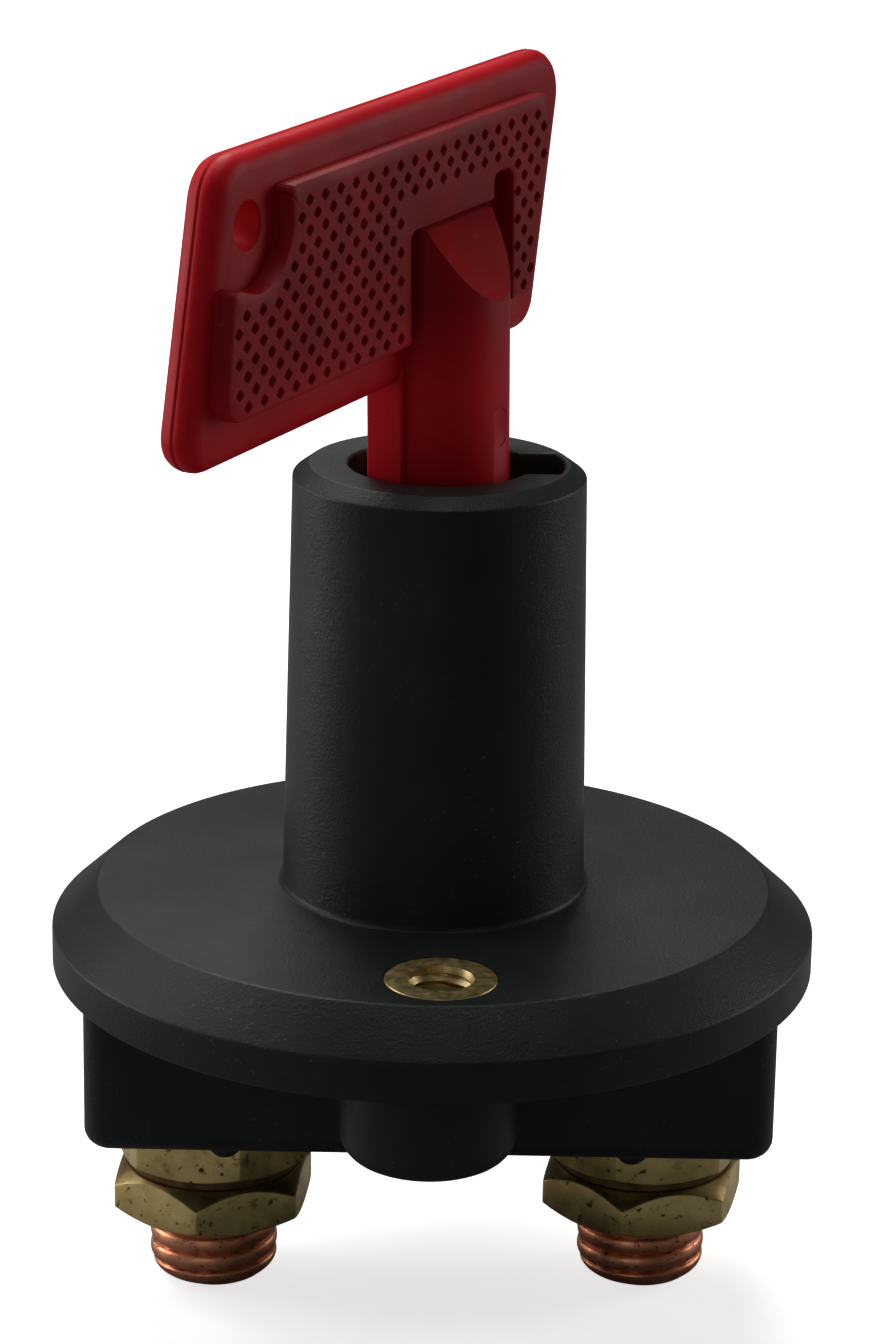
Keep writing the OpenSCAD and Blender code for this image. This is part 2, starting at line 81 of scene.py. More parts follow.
BLOCK_BOTTOM = cad_corner("base_plate", 0, 2)
BLOCK_HALF_L = 31
BLOCK_HALF_W = 17.3
BLOCK_CORNER = 2.6
BLOCK_EDGE = 1.8
BLOCK_TURN = math.radians(-2.1)
SKIRT = 2.2
CHAMBER_END = 3.6
CHAMBER_SIDE = 5.4
INSERT_Y = 24.7
INSERT_R = 5.05
BOSS_R = 7.75
BOSS_BOTTOM = -16.4
BOSS_EDGE = 2.2

STUD_X = cad_middle("stud_right", 0)
STUD_END = cad_corner("stud_right", 0, 2)
STUD_HEAD_TOP = cad_corner("stud_right", 1, 2)
STUD_HEAD_R = 6.9
STUD_HEAD_BOTTOM = STUD_HEAD_TOP - 3.7
THREAD_R = 5.98
THREAD_PITCH = 1.75
THREAD_DEPTH = 0.6
NUT_FLAT = 8.6
# radius and slope of the cone at a nut's lower face, then at its upper face
UPPER_NUT_FORM = (8.5, 0.6, 8.3, 0.6)
LOWER_NUT_FORM = (6.4, 0.55, 8.3, 0.95)

KEY_TURN = math.radians(59.8)
KEY_LEAN = math.radians(1.9)


# ---------- mesh code ----------

class Shell:
    """Corner points, in millimetres, and faces of a mesh that is being built up."""

    def __init__(self):
        self.points = []
        self.faces = []

    def add(self, points, faces):
        start = len(self.points)
        self.points.extend(Vector(p) for p in points)
        self.faces.extend([start + i for i in face] for face in faces)

    def loft(self, rings, closed=False):
        """Skins a row of rings with the same count of points; open rows get end caps."""
        count = len(rings[0])
        points = [p for ring in rings for p in ring]
        pairs = len(rings) if closed else len(rings) - 1
        faces = []
        for i in range(pairs):
            a = i * count
            b = (i + 1) % len(rings) * count
            for k in range(count):
                n = (k + 1) % count
                faces.append([a + k, a + n, b + n, b + k])
        if not closed:
            faces.append(list(range(count))[::-1])
            faces.append([(len(rings) - 1) * count + k for k in range(count)])
        self.add(points, faces)

    def moved(self, matrix):
        self.points = [matrix @ p for p in self.points]
        return self

    def make_object(self, name, smooth_angle=32):
        mesh = bpy.data.meshes.new(name)
        mesh.from_pydata([p * MM for p in self.points], [], self.faces)
        clean_mesh(mesh, smooth_angle)
        piece = bpy.data.objects.new(name, mesh)
        bpy.context.scene.collection.objects.link(piece)
        return piece


def clean_mesh(mesh, smooth_angle):
    """Turns all faces outwards and smooths every edge flatter than the given angle."""
    work = bmesh.new()
    work.from_mesh(mesh)
    bmesh.ops.recalc_face_normals(work, faces=work.faces)
    work.to_mesh(mesh)
    work.free()
    mesh.shade_smooth()
    mesh.set_sharp_from_angle(angle=math.radians(smooth_angle))
    mesh.update()


def apply_modifiers(piece, smooth_angle=32):
    """Replaces the piece's mesh by what its modifiers make of it."""
    graph = bpy.context.evaluated_depsgraph_get()
    mesh = bpy.data.meshes.new_from_object(piece.evaluated_get(graph))
    piece.modifiers.clear()
    piece.data = mesh
    clean_mesh(mesh, smooth_angle)


def combine(piece, others, operation):
    """Boolean of the piece with each other object in turn; the others are used up."""
    for other in others:
        boolean = piece.modifiers.new("boolean", "BOOLEAN")
        boolean.operation = operation
        boolean.solver = "EXACT"
        boolean.object = other
        bpy.context.view_layer.update()
        apply_modifiers(piece)
        bpy.data.objects.remove(other)
    return piece


def bevel(piece, width, segments=2, angle=35):
    """Rounds every sharp edge by a width in millimetres."""
    rounding = piece.modifiers.new("bevel", "BEVEL")
    rounding.width = width * MM
    rounding.segments = segments
    rounding.limit_method = "ANGLE"
    rounding.angle_limit = math.radians(angle)
    rounding.use_clamp_overlap = True
    apply_modifiers(piece)
    return piece


def polar(radius, angle, z):
    return Vector((radius * math.cos(angle), radius * math.sin(angle), z))


def circle_ring(radius, z, steps=96):
    return [polar(radius, TURN * k / steps, z) for k in range(steps)]


def lathe(profile, steps=96, closed=False):
    """A turned shape from [radius, height] points."""
    shell = Shell()
    shell.loft([circle_ring(r, z, steps) for r, z in profile], closed)
    return shell


def arc(centre, radius, start, end, steps=8):
    """Points on an arc between two angles in degrees."""
    points = []
    for i in range(steps + 1):
        angle = math.radians(start + (end - start) * i / steps)
        points.append((centre[0] + radius * math.cos(angle), centre[1] + radius * math.sin(angle)))
    return points


def rounded(corners, steps=5, closed=True):
    """A path through (x, y, radius) corners with each corner rounded to its radius."""
    points = []
    count = len(corners)
    for i, (x, y, radius) in enumerate(corners):
        here = Vector((x, y))
        end_corner = not closed and i in (0, count - 1)
        if radius == 0 or end_corner:
            points.append((x, y))
            continue
        before = (Vector(corners[i - 1][:2]) - here).normalized()
        after = (Vector(corners[(i + 1) % count][:2]) - here).normalized()
        half = before.angle(after) / 2
        middle = here + (before + after).normalized() * (radius / math.sin(half))
        reach = radius / math.tan(half)
        first = here + before * reach - middle
        sweep = first.angle_signed(here + after * reach - middle)
        for k in range(steps + 1):
            turn = -sweep * k / steps
            points.append(tuple(middle + Matrix.Rotation(turn, 2) @ first))
    return points


def inset(outline, distance):
    """The outline moved inwards; the outline runs anticlockwise."""
    moved = []
    count = len(outline)
    for i in range(count):
        before = Vector(outline[i - 1])
        here = Vector(outline[i])
        after = Vector(outline[(i + 1) % count])
        side_a = (here - before).normalized()
        side_b = (after - here).normalized()
        normal = Vector((-side_a.y - side_b.y, side_a.x + side_b.x)).normalized()
        spread = max(0.35, normal.dot(Vector((-side_a.y, side_a.x))))
        moved.append(tuple(here + normal * distance / spread))
    return moved


def rounded_rect(half_l, half_w, corner):
    return rounded([(half_l, half_w, corner), (-half_l, half_w, corner),
                    (-half_l, -half_w, corner), (half_l, -half_w, corner)], steps=8)


def at_height(outline, z):
    return [Vector((x, y, z)) for x, y in outline]


# ---------- materials ----------

class Nodes:
    """Short calls for building one material's node tree."""

    def __init__(self, name):
        self.material = bpy.data.materials.new(name)
        self.material.use_nodes = True
        self.tree = self.material.node_tree
        self.shader = self.tree.nodes["Principled BSDF"]
        self.place = self.add("ShaderNodeTexCoord").outputs["Object"]

    def add(self, kind, **values):
        node = self.tree.nodes.new(kind)
        for key, value in values.items():
            setattr(node, key, value)
        return node

    def link(self, source, target):
        self.tree.links.new(source, target)

    def noise(self, size, detail=3, rough=0.5, stretch=(1, 1, 1)):
        """Noise with features of about the given size in millimetres."""
        spread = self.add("ShaderNodeMapping")
        spread.inputs["Scale"].default_value = stretch
        self.link(self.place, spread.inputs["Vector"])
        noise = self.add("ShaderNodeTexNoise")
        noise.inputs["Scale"].default_value = 1 / (size * MM)
        noise.inputs["Detail"].default_value = detail
        noise.inputs["Roughness"].default_value = rough
        self.link(spread.outputs["Vector"], noise.inputs["Vector"])
        return noise.outputs["Fac"]

    def ramp(self, source, low, high, start=0.0, end=1.0):
        """Maps the source from low..high to start..end, and holds it there outside."""
        node = self.add("ShaderNodeMapRange")
        node.inputs["From Min"].default_value = low
        node.inputs["From Max"].default_value = high
        node.inputs["To Min"].default_value = start
        node.inputs["To Max"].default_value = end
        self.link(source, node.inputs["Value"])
        return node.outputs["Result"]

    def mix(self, factor, first, second):
        """A colour between two colours or colour outputs."""
        node = self.add("ShaderNodeMix", data_type="RGBA")
        self.link(factor, node.inputs["Factor"])
        for socket, value in ((node.inputs[6], first), (node.inputs[7], second)):
            if isinstance(value, tuple):
                socket.default_value = (*value, 1)
            else:
                self.link(value, socket)
        return node.outputs[2]

    def along(self, direction):
        """How far a point lies along a direction, in millimetres."""
        node = self.add("ShaderNodeVectorMath", operation="DOT_PRODUCT")
        self.link(self.place, node.inputs[0])
        node.inputs[1].default_value = [value / MM for value in direction]
        return node.outputs["Value"]

    def upward(self):
        """1 where a face looks straight up, 0 where it is upright, below 0 underneath."""
        node = self.add("ShaderNodeSeparateXYZ")
        self.link(self.add("ShaderNodeTexCoord").outputs["Normal"], node.inputs["Vector"])
        return node.outputs["Z"]

    def multiply(self, first, second):
        node = self.add("ShaderNodeMath", operation="MULTIPLY")
        self.link(first, node.inputs[0])
        self.link(second, node.inputs[1])
        return node.outputs["Value"]

    def bump(self, height, depth, below=None):
        """A bump of the given depth in millimetres, on top of an earlier bump."""
        node = self.add("ShaderNodeBump")
        node.inputs["Distance"].default_value = depth * MM
        self.link(height, node.inputs["Height"])
        if below is not None:
            self.link(below, node.inputs["Normal"])
        return node.outputs["Normal"]

    def finish(self, colour, roughness, normal, **sockets):
        self.link(colour, self.shader.inputs["Base Color"])
        self.link(roughness, self.shader.inputs["Roughness"])
        self.link(normal, self.shader.inputs["Normal"])
        for name, value in sockets.items():
            self.shader.inputs[name.replace("_", " ")].default_value = value
        return self.material


def black_plastic():
    """Satin moulded plastic with a fine grain, dust and handling marks."""
    m = Nodes("black_plastic")
    cloud = m.noise(14, detail=4)
    dust = m.ramp(m.noise(0.55, detail=2, rough=0.7), 0.66, 0.74)
    scuffs = m.ramp(m.noise(2.2, detail=5, stretch=(1, 1, 3)), 0.6, 0.72)
    grey = m.mix(m.ramp(cloud, 0.35, 0.65), (0.0088, 0.0112, 0.0106), (0.0160, 0.0192, 0.0183))
    grey = m.mix(m.multiply(dust, m.ramp(cloud, 0.45, 0.6)), grey, (0.075, 0.078, 0.074))
    rub = m.ramp(m.noise(6, detail=4), 0.4, 0.7, 0.40, 0.46)
    fine = m.bump(m.noise(0.25, detail=3, rough=0.7), 0.05)
    coarse = m.bump(scuffs, 0.012, fine)
    return m.finish(grey, rub, coarse, Specular_IOR_Level=0.2)


def red_plastic():
    """Semi-gloss red moulding with faint flow marks, handling marks and painted shade that darkens the
    upper front of the grip.
    """
    m = Nodes("red_plastic")
    flow = m.noise(9, detail=4, stretch=(1, 1, 0.4))
    red = m.mix(m.ramp(flow, 0.35, 0.65), (0.48, 0.005, 0.012), (0.58, 0.008, 0.017))
    # painted shade: the upper part of the grip's front face is darkened, broken up a little by noise
    front = m.ramp(m.along((math.sin(KEY_TURN), -math.cos(KEY_TURN), 0)), -0.4, 0.4)
    upper = m.ramp(m.along((0, 0, 1)), NECK_TOP + 8, NECK_TOP + 16)
    grip_painted_shade = m.multiply(m.multiply(front, upper), m.ramp(m.noise(7, detail=4), 0.3, 0.6, 0.7, 1.0))
    red = m.mix(grip_painted_shade, red, (0.235, 0.004, 0.007))
    marks = m.ramp(m.noise(1.3, detail=5, rough=0.65), 0.62, 0.75)
    red = m.mix(m.multiply(marks, m.ramp(flow, 0.3, 0.6)), red, (0.42, 0.025, 0.03))
    rub = m.ramp(m.noise(5, detail=5), 0.35, 0.7, 0.40, 0.52)
    fine = m.bump(m.noise(0.35, detail=2), 0.012)
    soft = m.bump(m.noise(3.5, detail=3), 0.03, fine)
    return m.finish(red, rub, soft, Specular_IOR_Level=0.09)


def old_brass():
    """Nuts dulled by handling, with dark spots, brown stain and painted shade on the faces that look
    upward.
    """
    m = Nodes("old_brass")
    cloud = m.noise(3.5, detail=5, rough=0.6)
    gold = m.mix(m.ramp(cloud, 0.35, 0.68), (0.55, 0.42, 0.16), (0.82, 0.64, 0.28))
    spots = m.ramp(m.noise(0.9, detail=4, rough=0.6), 0.60, 0.68)
    gold = m.mix(spots, gold, (0.09, 0.055, 0.02))
    stain = m.ramp(m.noise(1.6, detail=4), 0.55, 0.7)
    gold = m.mix(m.multiply(stain, m.ramp(cloud, 0.5, 0.35)), gold, (0.17, 0.10, 0.05))
    # painted shade: faces that look upward are darkened to dark brown
    gold = m.mix(m.ramp(m.upward(), 0.2, 0.5, 0.0, 0.8), gold, (0.12, 0.075, 0.03))
    rub = m.ramp(m.noise(1.1, detail=5, rough=0.6), 0.3, 0.7, 0.32, 0.52)
    fine = m.bump(m.noise(0.3, detail=4), 0.012)
    soft = m.bump(m.noise(1.8, detail=3), 0.03, fine)
    return m.finish(gold, rub, soft, Metallic=1.0)


def turned_brass():
    """Turned brass of the inserts, duller than new, with a little dirt."""
    m = Nodes("turned_brass")
    cloud = m.noise(1.6, detail=5)
    gold = m.mix(m.ramp(cloud, 0.35, 0.65), (0.44, 0.32, 0.13), (0.66, 0.51, 0.24))
    dirt = m.ramp(m.noise(0.6, detail=4), 0.62, 0.72, 0.0, 0.35)
    gold = m.mix(dirt, gold, (0.22, 0.14, 0.05))
    rub = m.ramp(m.noise(0.8, detail=4), 0.3, 0.7, 0.36, 0.5)
    fine = m.bump(m.noise(0.2, detail=3), 0.008)
    return m.finish(gold, rub, fine, Metallic=1.0)


def copper():
    """Rolled copper thread with darker flecks."""
    m = Nodes("copper")
    cloud = m.noise(2.4, detail=5, rough=0.6)
    tone = m.mix(m.ramp(cloud, 0.35, 0.68), (0.64, 0.24, 0.13), (0.86, 0.38, 0.22))
    flecks = m.ramp(m.noise(0.6, detail=4, stretch=(1, 1, 2)), 0.6, 0.68)
    tone = m.mix(flecks, tone, (0.17, 0.05, 0.028))
    rub = m.ramp(m.noise(0.9, detail=4), 0.3, 0.7, 0.3, 0.5)
    fine = m.bump(m.noise(0.25, detail=4), 0.012)
    return m.finish(tone, rub, fine, Metallic=1.0)


def plain_metal(name, dark, light, rough):
    """Plated or drawn metal of the small inner parts."""
    m = Nodes(name)
    cloud = m.noise(2, detail=4)
    tone = m.mix(m.ramp(cloud, 0.35, 0.65), dark, light)
    rub = m.ramp(m.noise(0.7, detail=4), 0.3, 0.7, rough, rough + 0.15)
    fine = m.bump(m.noise(0.25, detail=3, stretch=(1, 1, 4)), 0.01)
    return m.finish(tone, rub, fine, Metallic=1.0)


def plain_moulding(name, dark, light, rough):
    """Matt rubber or plain plastic of the inner parts."""
    m = Nodes(name)
    cloud = m.noise(5, detail=4)
    tone = m.mix(m.ramp(cloud, 0.35, 0.65), dark, light)
    rub = m.ramp(m.noise(1.5, detail=4), 0.3, 0.7, rough, rough + 0.12)
    fine = m.bump(m.noise(0.3, detail=3), 0.02)
    return m.finish(tone, rub, fine)


BLACK = black_plastic()
RED = red_plastic()
OLD_BRASS = old_brass()
TURNED_BRASS = turned_brass()
COPPER = copper()
ZINC = plain_metal("zinc_plate", (0.42, 0.43, 0.45), (0.62, 0.63, 0.65), 0.3)
# the washers between the nuts get a very dark brass: painted shade for the gap between the nuts
WASHER_SHADE_BRASS = plain_metal("washer_painted_shade_brass", (0.10, 0.055, 0.022), (0.18, 0.11, 0.05), 0.5)
BLACKENED = plain_metal("blackened_steel", (0.02, 0.02, 0.02), (0.05, 0.05, 0.05), 0.45)
SPRING = plain_metal("spring_steel", (0.30, 0.31, 0.33), (0.46, 0.47, 0.5), 0.28)
SILVER = plain_metal("silver_contact", (0.7, 0.7, 0.68), (0.85, 0.85, 0.83), 0.3)
BAR_COPPER = plain_metal("bar_copper", (0.55, 0.27, 0.17), (0.72, 0.38, 0.26), 0.32)
RUBBER = plain_moulding("rubber", (0.012, 0.012, 0.012), (0.022, 0.022, 0.022), 0.7)
ACETAL = plain_moulding("inner_plastic", (0.56, 0.53, 0.44), (0.68, 0.65, 0.56), 0.42)


def dress(piece, material, body, stands_for=()):
    """Gives a new piece its material and body, and hides the CAD nodes it stands for."""
    piece.data.materials.clear()
    piece.data.materials.append(material)
    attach(piece, body)
    if stands_for:
        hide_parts(*stands_for)
    return piece


# ---------- housing ----------

def key_hole_radius(angle, grow):
    """Edge of the key hole at one angle: a circle with the slot towards +X."""
    half = SLOT_HALF + grow
    angle = abs((angle + math.pi) % TURN - math.pi)
    if angle < math.asin(half / (SLOT_R + grow)):
        return SLOT_R + grow
    if angle < math.asin(half / (KEY_HOLE_R + grow)):
        return half / math.sin(angle)
    return KEY_HOLE_R + grow


def neck_angles():
    """Even steps round the neck, and finer ones round the corners of the slot."""
    angles = [TURN * k / 160 for k in range(160)]
    corners = [math.asin(SLOT_HALF / KEY_HOLE_R), math.asin(SLOT_HALF / SLOT_R)]
    for corner in corners:
        for side in (-1, 1):
            angles.extend((side * (corner + step * 0.006)) % TURN for step in (-1, 0, 1))
    return sorted(set(angles))


def flange_and_neck():
    """The turned outside of the housing, its lip with the key hole, and its bore."""
    angles = neck_angles()
    outside = rounded([
        (BORE_R, FLANGE_BOTTOM, 0),
        (FLANGE_R, FLANGE_BOTTOM, 0.35),
        (FLANGE_R, FLANGE_CHAMFER_Z, 0.5),
        (FLANGE_FLAT_R, 0, 0.6),
        (NECK_BASE_R, 0, 0.55),
        (NECK_TOP_R, NECK_TOP - NECK_CHAMFER, 0.4),
        (NECK_FLAT_R, NECK_TOP, 0.25),
        (NECK_FLAT_R - 0.15, NECK_TOP, 0),
    ], closed=False)
    rings = [[polar(r, a, z) for a in angles] for r, z in outside]
    lip_edge = arc((LIP_ROUND, NECK_TOP - LIP_ROUND), LIP_ROUND, 90, 180, 4)
    for grow, z in lip_edge:
        rings.append([polar(min(key_hole_radius(a, grow), NECK_FLAT_R - 0.1), a, z) for a in angles])
    rings.append([polar(key_hole_radius(a, 0), a, LIP_UNDER) for a in angles])
    rings.append([polar(BORE_R, a, LIP_UNDER) for a in angles])
    shell = Shell()
    shell.loft(rings, closed=True)
    return shell.make_object("housing_shell")


def block():
    """The block below the flange, with a rounded lower edge."""
    edge = arc((BLOCK_EDGE, BLOCK_BOTTOM + BLOCK_EDGE), BLOCK_EDGE, 270, 180, 6)
    rings = []
    for pulled_in, z in edge:
        outline = rounded_rect(BLOCK_HALF_L - pulled_in, BLOCK_HALF_W - pulled_in,
                               BLOCK_CORNER - pulled_in)
        rings.append(at_height(outline, z))
    rings.append(at_height(rounded_rect(BLOCK_HALF_L, BLOCK_HALF_W, BLOCK_CORNER), -6))
    shell = Shell()
    shell.loft(rings)
    return shell.moved(Matrix.Rotation(BLOCK_TURN, 4, "Z")).make_object("block")


def boss(side):
    """One of the two bosses that hold the threaded inserts."""
    profile = [(0.01, BOSS_BOTTOM)]
    profile += arc((BOSS_R - BOSS_EDGE, BOSS_BOTTOM + BOSS_EDGE), BOSS_EDGE, 270, 360, 8)
    profile += [(BOSS_R, -6), (0.01, -6)]
    place = Matrix.Rotation(BLOCK_TURN, 4, "Z") @ Matrix.Translation((0, side * INSERT_Y, 0))
    return lathe(profile, 72).moved(place).make_object("boss")


def housing_hollows():
    """Solids that cut the pocket, the contact chamber and the insert holes."""
    pocket = Shell()
    ledge = cad_corner("base_gasket", 1, 2)
    pocket.loft([at_height(rounded_rect(BLOCK_HALF_L - SKIRT, BLOCK_HALF_W - SKIRT, 3), z)
                 for z in (BLOCK_BOTTOM - 1, ledge)])
    chamber = Shell()
    chamber.loft([at_height(rounded_rect(BLOCK_HALF_L - CHAMBER_END, BLOCK_HALF_W - CHAMBER_SIDE, 3), z)
                  for z in (ledge - 0.1, -4)])
    for hollow in (pocket, chamber):
        hollow.moved(Matrix.Rotation(BLOCK_TURN, 4, "Z"))
    cutters = [pocket.make_object("pocket"), chamber.make_object("chamber")]
    bore = Shell()
    bore.loft([circle_ring(BORE_R, z, 120) for z in (-9, -3)])
    cutters.append(bore.make_object("bore"))
    for side in (-1, 1):
        hole = lathe([(3, BOSS_BOTTOM - 1), (3, -15), (INSERT_R, -15), (INSERT_R, 1)], 72)
        hole.moved(Matrix.Translation((0, side * INSERT_Y, 0)))
        cutters.append(hole.make_object("insert_hole"))
    return cutters


def make_housing():
    piece = flange_and_neck()
    combine(piece, [block(), boss(-1), boss(1)], "UNION")
    combine(piece, housing_hollows(), "DIFFERENCE")
    dress(piece, BLACK, "housing", ["housing"])


# ---------- brass inserts, studs and nuts ----------

def helical_radius(angle, z, outer, pitch, depth):
    """Radius of a rolled thread: broad round crests and narrow roots."""
    phase = (z / pitch - angle / TURN) % 1
    side = abs(2 * phase - 1)
    return outer - depth * (0.62 * side ** 9 + 0.38 * side ** 2)


def make_inserts():
    """Two plain brass sleeves with an M6 thread that starts just below the mouth."""
    bore = 2.5
    mouth = 2.9
    length = 15
    lead_in = 0.6
    groove_depth = 0.45
    per_turn = 8
    turns = 13
    steps = 60
    shell = Shell()
    for side in (-1, 1):
        rings = [circle_ring(INSERT_R, -0.25, steps), circle_ring(INSERT_R - 0.2, 0, steps),
                 circle_ring(mouth, 0, steps)]
        for i in range(turns * per_turn + 1):
            z = -lead_in - i / per_turn
            ring = []
            for k in range(steps):
                angle = TURN * k / steps
                groove = abs((z - angle / TURN) % 1 * 2 - 1)
                ring.append(polar(bore + groove_depth * groove, angle, z))
            rings.append(ring)
        rings.append(circle_ring(bore + 0.3, -length, steps))
        rings.append(circle_ring(INSERT_R, -length, steps))
        sleeve = Shell()
        sleeve.loft(rings, closed=True)
        sleeve.moved(Matrix.Translation((0, side * INSERT_Y, 0)))
        shell.add(sleeve.points, sleeve.faces)
    dress(shell.make_object("insert_sleeves"), TURNED_BRASS, "housing",
          ["threaded_inserts"])


def make_stud(name, side):
    """A copper stud with a flat head inside the block and a rolled thread below."""
    steps = 72
    nose = 2.4
    nose_inset = 2.9
    rings = [circle_ring(0.01, STUD_END, steps), circle_ring(THREAD_R - 3.3, STUD_END, steps)]
    z = STUD_END + 0.08
    while z < STUD_HEAD_BOTTOM - 0.5:
        short = max(0, 1 - (z - STUD_END) / nose)
        outer = THREAD_R - nose_inset * (1 - math.sqrt(1 - short * short))
        depth = THREAD_DEPTH * (1 - 0.6 * short)
        rings.append([polar(helical_radius(TURN * k / steps, z, outer, THREAD_PITCH, depth),
                            TURN * k / steps, z) for k in range(steps)])
        z += THREAD_PITCH / 18
    rings.append(circle_ring(THREAD_R - 0.4, STUD_HEAD_BOTTOM, steps))
    for r, z in ((STUD_HEAD_R, STUD_HEAD_BOTTOM), (STUD_HEAD_R, STUD_HEAD_TOP), (0.01, STUD_HEAD_TOP)):
        rings.append(circle_ring(r, z, steps))
    shell = Shell()
    shell.loft(rings)
    shell.moved(Matrix.Translation((side * STUD_X, 0, 0)))
    node = "stud_right" if side > 0 else "stud_left"
    dress(shell.make_object(name, 50), COPPER, "housing", [node])


def nut_shell(centre_x, bottom, top, turn, form):
    """A hexagon nut whose corners are turned down to a cone at both ends."""
    face_bottom, slope_bottom, face_top, slope_top = form
    per_side = 14
    steps = 6 * per_side
    corner = math.radians(turn)
    inner = THREAD_R + 0.05
    rings = [[], [], [], [], [], []]
    for k in range(steps):
        local = math.radians(60) * (k % per_side) / per_side - math.radians(30)
        angle = corner + TURN * k / steps
        reach = NUT_FLAT / math.cos(local)
        reach = min(reach, NUT_FLAT / math.cos(math.radians(30)) - 0.06)
        low = bottom + slope_bottom * (reach - face_bottom)
        high = top - slope_top * (reach - face_top)
        for ring, (r, z) in zip(rings, ((inner, bottom), (face_bottom, bottom), (reach, low),
                                        (reach, high), (face_top, top), (inner, top))):
            ring.append(polar(r, angle, z))
    shell = Shell()
    shell.loft(rings, closed=True)
    return shell.moved(Matrix.Translation((centre_x, 0, 0)))


def make_nuts():
    """Upper nuts hold the studs to the base plate; lower ones take the cable lugs."""
    upper = Shell()
    lower = Shell()
    upper_top = cad_corner("stud_nuts", 1, 2)
    upper_bottom = cad_corner("stud_nuts", 0, 2)
    lower_top = cad_corner("terminal_nuts", 1, 2)
    lower_bottom = cad_corner("terminal_nuts", 0, 2)
    turns = {-1: (45.4, 21.5), 1: (10.7, 14.7)}
    for side, (upper_turn, lower_turn) in turns.items():
        nut = nut_shell(side * STUD_X, upper_bottom, upper_top, upper_turn, UPPER_NUT_FORM)
        upper.add(nut.points, nut.faces)
        nut = nut_shell(side * STUD_X, lower_bottom, lower_top, lower_turn, LOWER_NUT_FORM)
        lower.add(nut.points, nut.faces)
    sets = ((upper, "upper_nuts", "stud_nuts"), (lower, "lower_nuts", "terminal_nuts"))
    for shell, name, node in sets:
        piece = bevel(shell.make_object(name, 20), 0.12, 2, 22)
        dress(piece, OLD_BRASS, "housing", [node])


# ---------- key ----------

# The key's own frame: X along the short arm, -Y to the front, Z up the shank,
# with the zero on the shank's axis at the top of the neck.
PLATE_FRONT = -0.1
PLATE_BACK = 3.5
PLATE_LOW = 8.6
PLATE_HIGH = 33.9
PLATE_MIDDLE = (PLATE_LOW + PLATE_HIGH) / 2
LONG_ARM = 39.3
SHORT_ARM = 21.4
GRIP_MARGIN = 5.2
END_SLANT = 0.255
TOP_CORNER = 4.2
LOW_CORNER = 3.2
GRIP_FRONT = -1.85
GRIP_LOW = 12.8
GRIP_HIGH = 30.6
SHANK_R = 6.2
SHANK_TIP = -25
BAR_HALF = 7.1
SLOPE_TOP = 22.5
SLOPE_LOW = 15.5
LANYARD = (-32.4, 27.9)
LANYARD_R = 2.0


def key_matrix():
    """Places the key's own frame in the switch."""
    return (Matrix.Translation((0, 0, NECK_TOP))
            @ Matrix.Rotation(KEY_TURN, 4, "Z")
            @ Matrix.Rotation(-KEY_LEAN, 4, "Y"))


def end_x(side, height):
    reach = -LONG_ARM if side < 0 else SHORT_ARM
    return reach + END_SLANT * (height - PLATE_MIDDLE)


def plate_outline():
    """The plate from the front, with both ends leaning the same way."""
    return rounded([
        (end_x(1, PLATE_HIGH), PLATE_HIGH, TOP_CORNER),
        (end_x(-1, PLATE_HIGH), PLATE_HIGH, TOP_CORNER),
        (end_x(-1, PLATE_LOW), PLATE_LOW, LOW_CORNER),
        (end_x(1, PLATE_LOW), PLATE_LOW, LOW_CORNER),
    ], steps=10)


def stand_up(outline, depth):
    """Sets a flat outline upright in the key's X-Z plane at a depth."""
    return [Vector((x, depth, z)) for x, z in outline]


def key_plate():
    """The plate with its moulding draft and rounded rim, and the lanyard hole."""
    outline = plate_outline()
    rim = [(1.5, PLATE_BACK), (1.05, 3.42), (0.6, 3.15), (0.28, 2.65), (0.1, 2.0), (0.2, 1.8),
           (0.1, 1.6), (0.13, 1.1), (0.3, 0.65), (0.6, 0.3), (1.05, 0.05), (1.7, PLATE_FRONT)]
    shell = Shell()
    shell.loft([stand_up(inset(outline, d), y) for d, y in rim])
    piece = shell.make_object("key_body")
    flare = 0.2
    profile = [(LANYARD_R + 1.1, PLATE_FRONT - 0.3)]
    profile += arc((LANYARD_R + flare, PLATE_FRONT + flare), flare, 270, 180, 5)
    profile += arc((LANYARD_R + flare, PLATE_BACK - flare), flare, 180, 90, 5)
    profile += [(LANYARD_R + 1.1, PLATE_BACK + 0.3)]
    drill = lathe(profile, 48)
    drill.moved(Matrix.Translation((LANYARD[0], 0, LANYARD[1])) @ Matrix.Rotation(-math.pi / 2, 4, "X"))
    combine(piece, [drill.make_object("drill")], "DIFFERENCE")
    return piece


def grip_outline():
    """Edge of the raised grip, with the bite round the lanyard hole and the window."""
    bite = [(x, z, 0) for x, z in arc((-33.3, 28.1), 5.25, -100, 20, 16)]
    right = end_x(1, PLATE_MIDDLE) - GRIP_MARGIN
    right_low = right + END_SLANT * (GRIP_LOW - PLATE_MIDDLE)
    right_high = right + END_SLANT * (GRIP_HIGH - PLATE_MIDDLE)
    return rounded([
        (right_low, GRIP_LOW, 0.8),
        (right_high, GRIP_HIGH, 2.0),
        (-29.2, GRIP_HIGH, 0.6),
    ] + bite[::-1] + [
        (-37.3, 23.9, 0.9),
        (-39.0, GRIP_LOW, 2.2),
        (-8.3, GRIP_LOW, 0.5),
        (-8.3, 22.7, 0.9),
        (6.9, 22.7, 0),
        (6.9, 25.0, 0.9),
        (10.35, 25.0, 1.1),
        (10.35, GRIP_LOW, 0.4),
    ])


